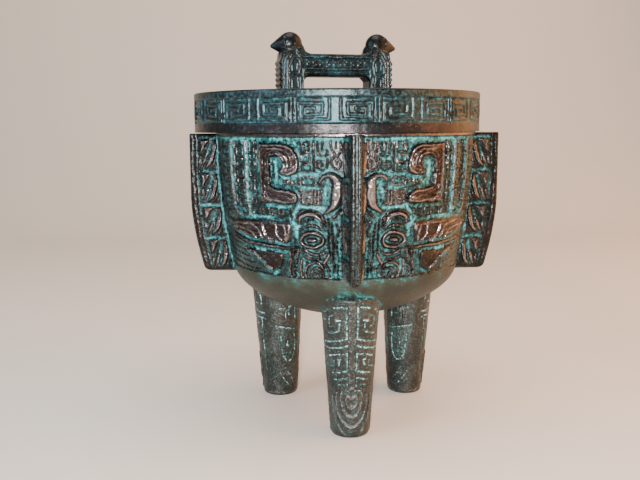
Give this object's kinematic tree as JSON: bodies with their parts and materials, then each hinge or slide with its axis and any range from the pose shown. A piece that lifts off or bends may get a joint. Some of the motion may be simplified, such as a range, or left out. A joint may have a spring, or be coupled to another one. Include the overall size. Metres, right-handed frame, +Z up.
{
  "type": "lidded bronze tripod vessel",
  "caption": "Deep round bronze bowl on cylindrical legs with upright flanges and cast masks, and a lift-off lid with a key band and a bird-bridge handle.",
  "frame": {"origin": "on the surface it stands on, under the middle of the box round it", "axes": "+Z up, -Y towards the flange that stands over one leg, +X to that side's right"},
  "size_m": [0.2032, 0.2032, 0.2485],
  "materials": {
    "bowl_bronze": "dark brown-black patinated cast bronze with turquoise verdigris in the recesses",
    "lid_bronze": "dark brown-black patinated cast bronze, rubbed bright on its edges, with turquoise verdigris"
  },
  "bodies": {
    "root": {"tripod_bowl": "bowl_bronze", "lid": "lid_bronze"}
  },
  "joints": []
}
